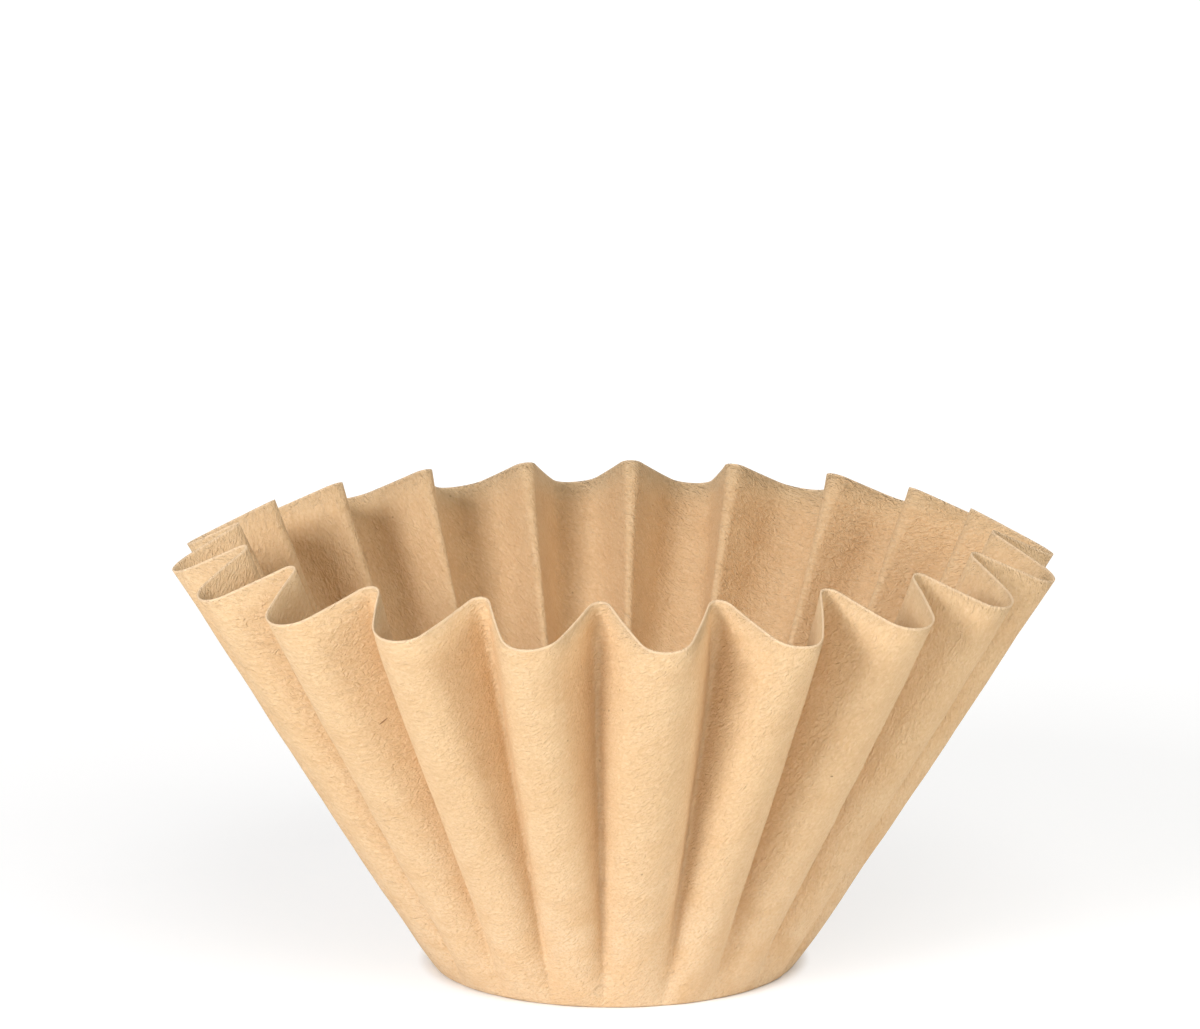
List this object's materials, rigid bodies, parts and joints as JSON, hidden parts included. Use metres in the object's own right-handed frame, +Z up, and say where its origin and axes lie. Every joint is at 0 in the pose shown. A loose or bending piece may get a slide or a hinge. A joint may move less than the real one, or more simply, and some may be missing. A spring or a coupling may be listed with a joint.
{
  "type": "paper coffee filter",
  "caption": "Basket-shaped filter of one folded sheet of unbleached paper, with a flat round floor and a flaring wall of even flutes.",
  "frame": {"origin": "centre of the underside of the flat floor, which the filter stands on", "axes": "+Z up along the filter's axis, with the crown of a flute over each of +X, -X, +Y and -Y"},
  "size_m": [0.1206, 0.1206, 0.0607],
  "materials": {
    "filter_paper": "matt unbleached kraft paper, faintly creped, with fine fibres and a paler cut edge"
  },
  "bodies": {
    "root": {"filter_paper": "filter_paper"}
  },
  "joints": []
}
